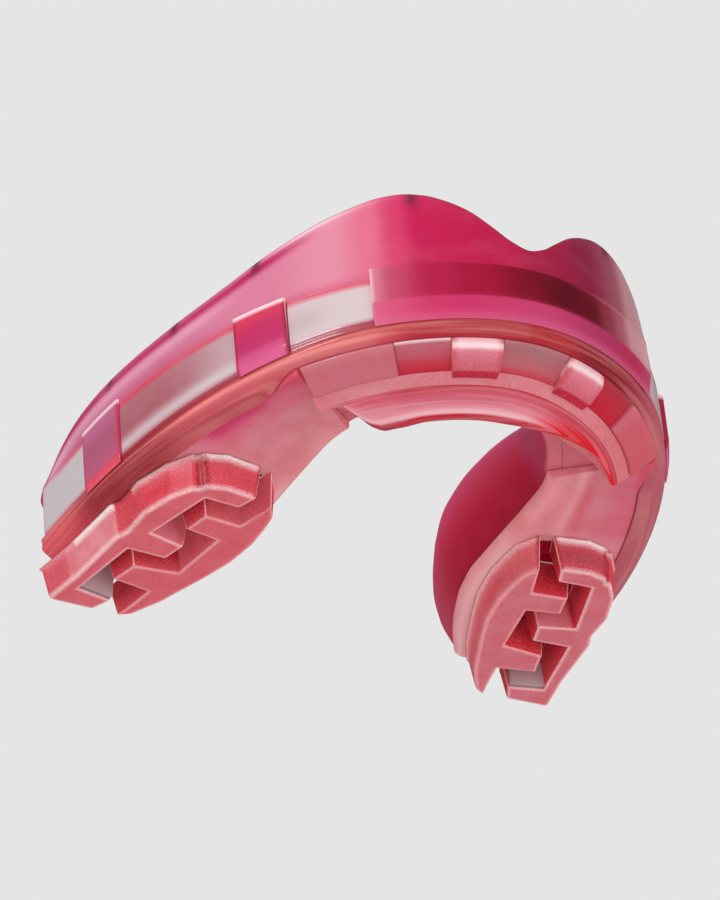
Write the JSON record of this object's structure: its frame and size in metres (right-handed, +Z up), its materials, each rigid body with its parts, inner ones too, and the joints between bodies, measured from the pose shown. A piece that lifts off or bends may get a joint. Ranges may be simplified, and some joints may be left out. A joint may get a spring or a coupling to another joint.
{
  "type": "mouthguard",
  "caption": "Upper boil-and-bite mouthguard: U-shaped tooth trough with a tall gum flange, windowed outer cage, front bite bar and raised molar bite pads with a zigzag channel.",
  "frame": {"origin": "middle of the bounding box in plan, on the plane of the molar bite pads", "axes": "+X across the mouth to the wearer's left, -Y is the front of the arch, +Z up towards the gums"},
  "size_m": [0.059, 0.0518, 0.022],
  "materials": {
    "flange_pink": "soft translucent pink, glossy",
    "fit_crimson": "translucent crimson, glossy",
    "band_crimson": "translucent crimson, polished",
    "window_clear": "near-clear polished plastic with a faint pink tint",
    "bite_frosted": "translucent salmon red with a fine frosted texture",
    "bite_smooth": "translucent rose, satin",
    "rim_salmon": "translucent salmon red, polished"
  },
  "bodies": {
    "root": {"gum_flange": "flange_pink", "trough_floor": "fit_crimson", "palatal_flange": "fit_crimson", "outer_fit_fins": "flange_pink", "inner_fit_fins": "fit_crimson", "lower_rim": "rim_salmon", "front_band": "band_crimson", "left_cheek_ribs": "band_crimson", "right_cheek_ribs": "band_crimson", "left_clear_windows": "window_clear", "right_clear_windows": "window_clear", "front_bite_bar": "bite_frosted", "front_lip": "rim_salmon", "front_bite_panes": "bite_smooth", "front_bite_blocks": "bite_frosted", "left_bite_skin": "bite_smooth", "right_bite_skin": "bite_smooth", "left_outer_bite_pad": "bite_frosted", "right_outer_bite_pad": "bite_frosted", "left_inner_bite_pad": "bite_frosted", "right_inner_bite_pad": "bite_frosted", "slot_windows": "window_clear"}
  },
  "joints": []
}
